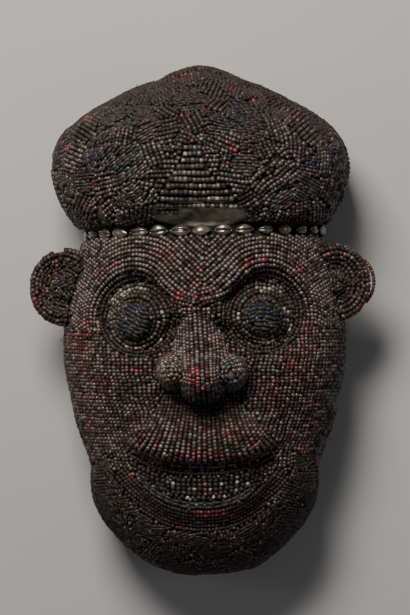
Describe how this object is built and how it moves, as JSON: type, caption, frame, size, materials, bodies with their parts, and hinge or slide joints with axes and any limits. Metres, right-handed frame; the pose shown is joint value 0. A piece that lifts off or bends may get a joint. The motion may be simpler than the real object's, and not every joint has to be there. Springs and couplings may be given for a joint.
{
  "type": "beaded mask",
  "caption": "Carved wooden face mask with a puffed cap and disc ears, hollow behind, covered in strung glass beads, with a cowrie band at the brow.",
  "frame": {"origin": "the middle of the flat back rim, at the centre of the part's box, with the rim in the plane z = 0", "axes": "+Z out of the face, towards the tip of the nose; +Y from the chin to the cap; +X to the right of a viewer who faces the mask"},
  "size_m": [0.326, 0.482, 0.2126],
  "materials": {
    "beadwork": "dark glass beads sewn in rows on cloth over carved wood",
    "cowrie_shell": "polished shell, darkened by handling and smoke",
    "red_beads": "glossy opaque red glass",
    "glass_beads": "glossy opaque dark glass with grime between the beads",
    "cloth": "coarse dark cotton under the beads",
    "carved_wood": "dry wood with tool marks, inside the hollow"
  },
  "bodies": {
    "root": {"mask_body": "beadwork", "cowrie_01": "cowrie_shell", "cowrie_02": "cowrie_shell", "cowrie_03": "cowrie_shell", "cowrie_04": "cowrie_shell", "cowrie_05": "cowrie_shell", "cowrie_06": "cowrie_shell", "cowrie_07": "cowrie_shell", "cowrie_08": "cowrie_shell", "cowrie_09": "cowrie_shell", "cowrie_10": "cowrie_shell", "cowrie_11": "cowrie_shell", "cowrie_12": "cowrie_shell", "cowrie_13": "cowrie_shell", "cowrie_14": "cowrie_shell", "cowrie_15": "cowrie_shell", "cowrie_16": "cowrie_shell", "cowrie_17": "cowrie_shell", "cowrie_18": "cowrie_shell", "cowrie_19": "cowrie_shell", "cowrie_20": "cowrie_shell", "cowrie_21": "cowrie_shell", "loose_bead_strand": "red_beads"}
  },
  "joints": []
}
